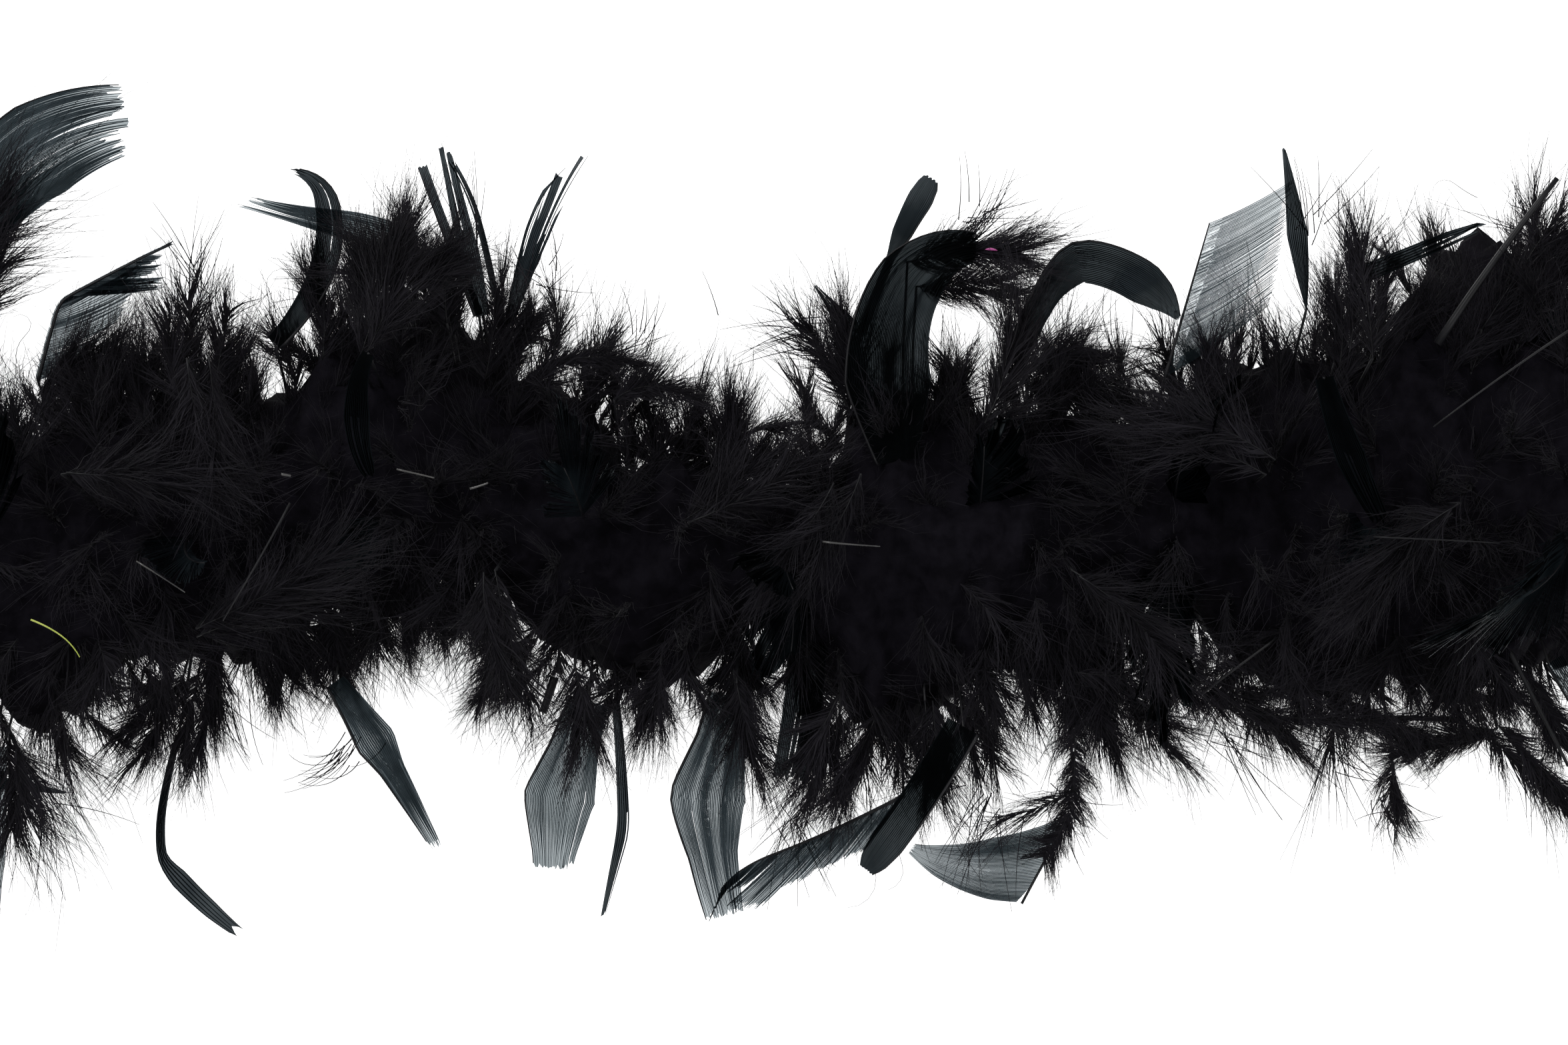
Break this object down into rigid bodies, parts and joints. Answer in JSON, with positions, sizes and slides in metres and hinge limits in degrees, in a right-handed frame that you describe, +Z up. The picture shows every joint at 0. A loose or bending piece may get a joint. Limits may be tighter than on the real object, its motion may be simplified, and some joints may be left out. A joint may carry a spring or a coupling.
{
  "type": "feather boa",
  "caption": "Black feather boa: dense down, bare quills and translucent flat feathers bound all along a twisted cord that is knotted at both ends, laid in an S.",
  "frame": {"origin": "on the table, under the middle of the S that the boa lies in (bottom centre of its box)", "axes": "+Z up from the table, X along the three long rows of the S, Y across them"},
  "size_m": [0.791, 0.6784, 0.125],
  "materials": {
    "cord": "matte",
    "thread": "satin",
    "down": "matte",
    "quill": "satin",
    "vane": "satin"
  },
  "bodies": {
    "root": {"core_cord": "cord", "end_whipping_a": "thread", "end_whipping_b": "thread", "end_knot_a": "cord", "end_knot_b": "cord", "end_fray_a": "cord", "end_fray_b": "cord", "down_01": "down", "down_02": "down", "down_03": "down", "down_04": "down", "down_05": "down", "down_06": "down", "down_07": "down", "down_08": "down", "down_09": "down", "down_10": "down", "down_11": "down", "down_12": "down", "down_13": "down", "down_14": "down", "quills_01": "quill", "quills_02": "quill", "quills_03": "quill", "quills_04": "quill", "quills_05": "quill", "quills_06": "quill", "quills_07": "quill", "quills_08": "quill", "quills_09": "quill", "quills_10": "quill", "quills_11": "quill", "quills_12": "quill", "quills_13": "quill", "quills_14": "quill", "vanes_01": "vane", "vanes_02": "vane", "vanes_03": "vane", "vanes_04": "vane", "vanes_05": "vane", "vanes_06": "vane", "vanes_07": "vane", "vanes_08": "vane", "vanes_09": "vane", "vanes_10": "vane", "vanes_11": "vane", "vanes_12": "vane", "vanes_13": "vane", "vanes_14": "vane", "binding_01": "thread", "binding_02": "thread", "binding_03": "thread", "binding_04": "thread"}
  },
  "joints": []
}
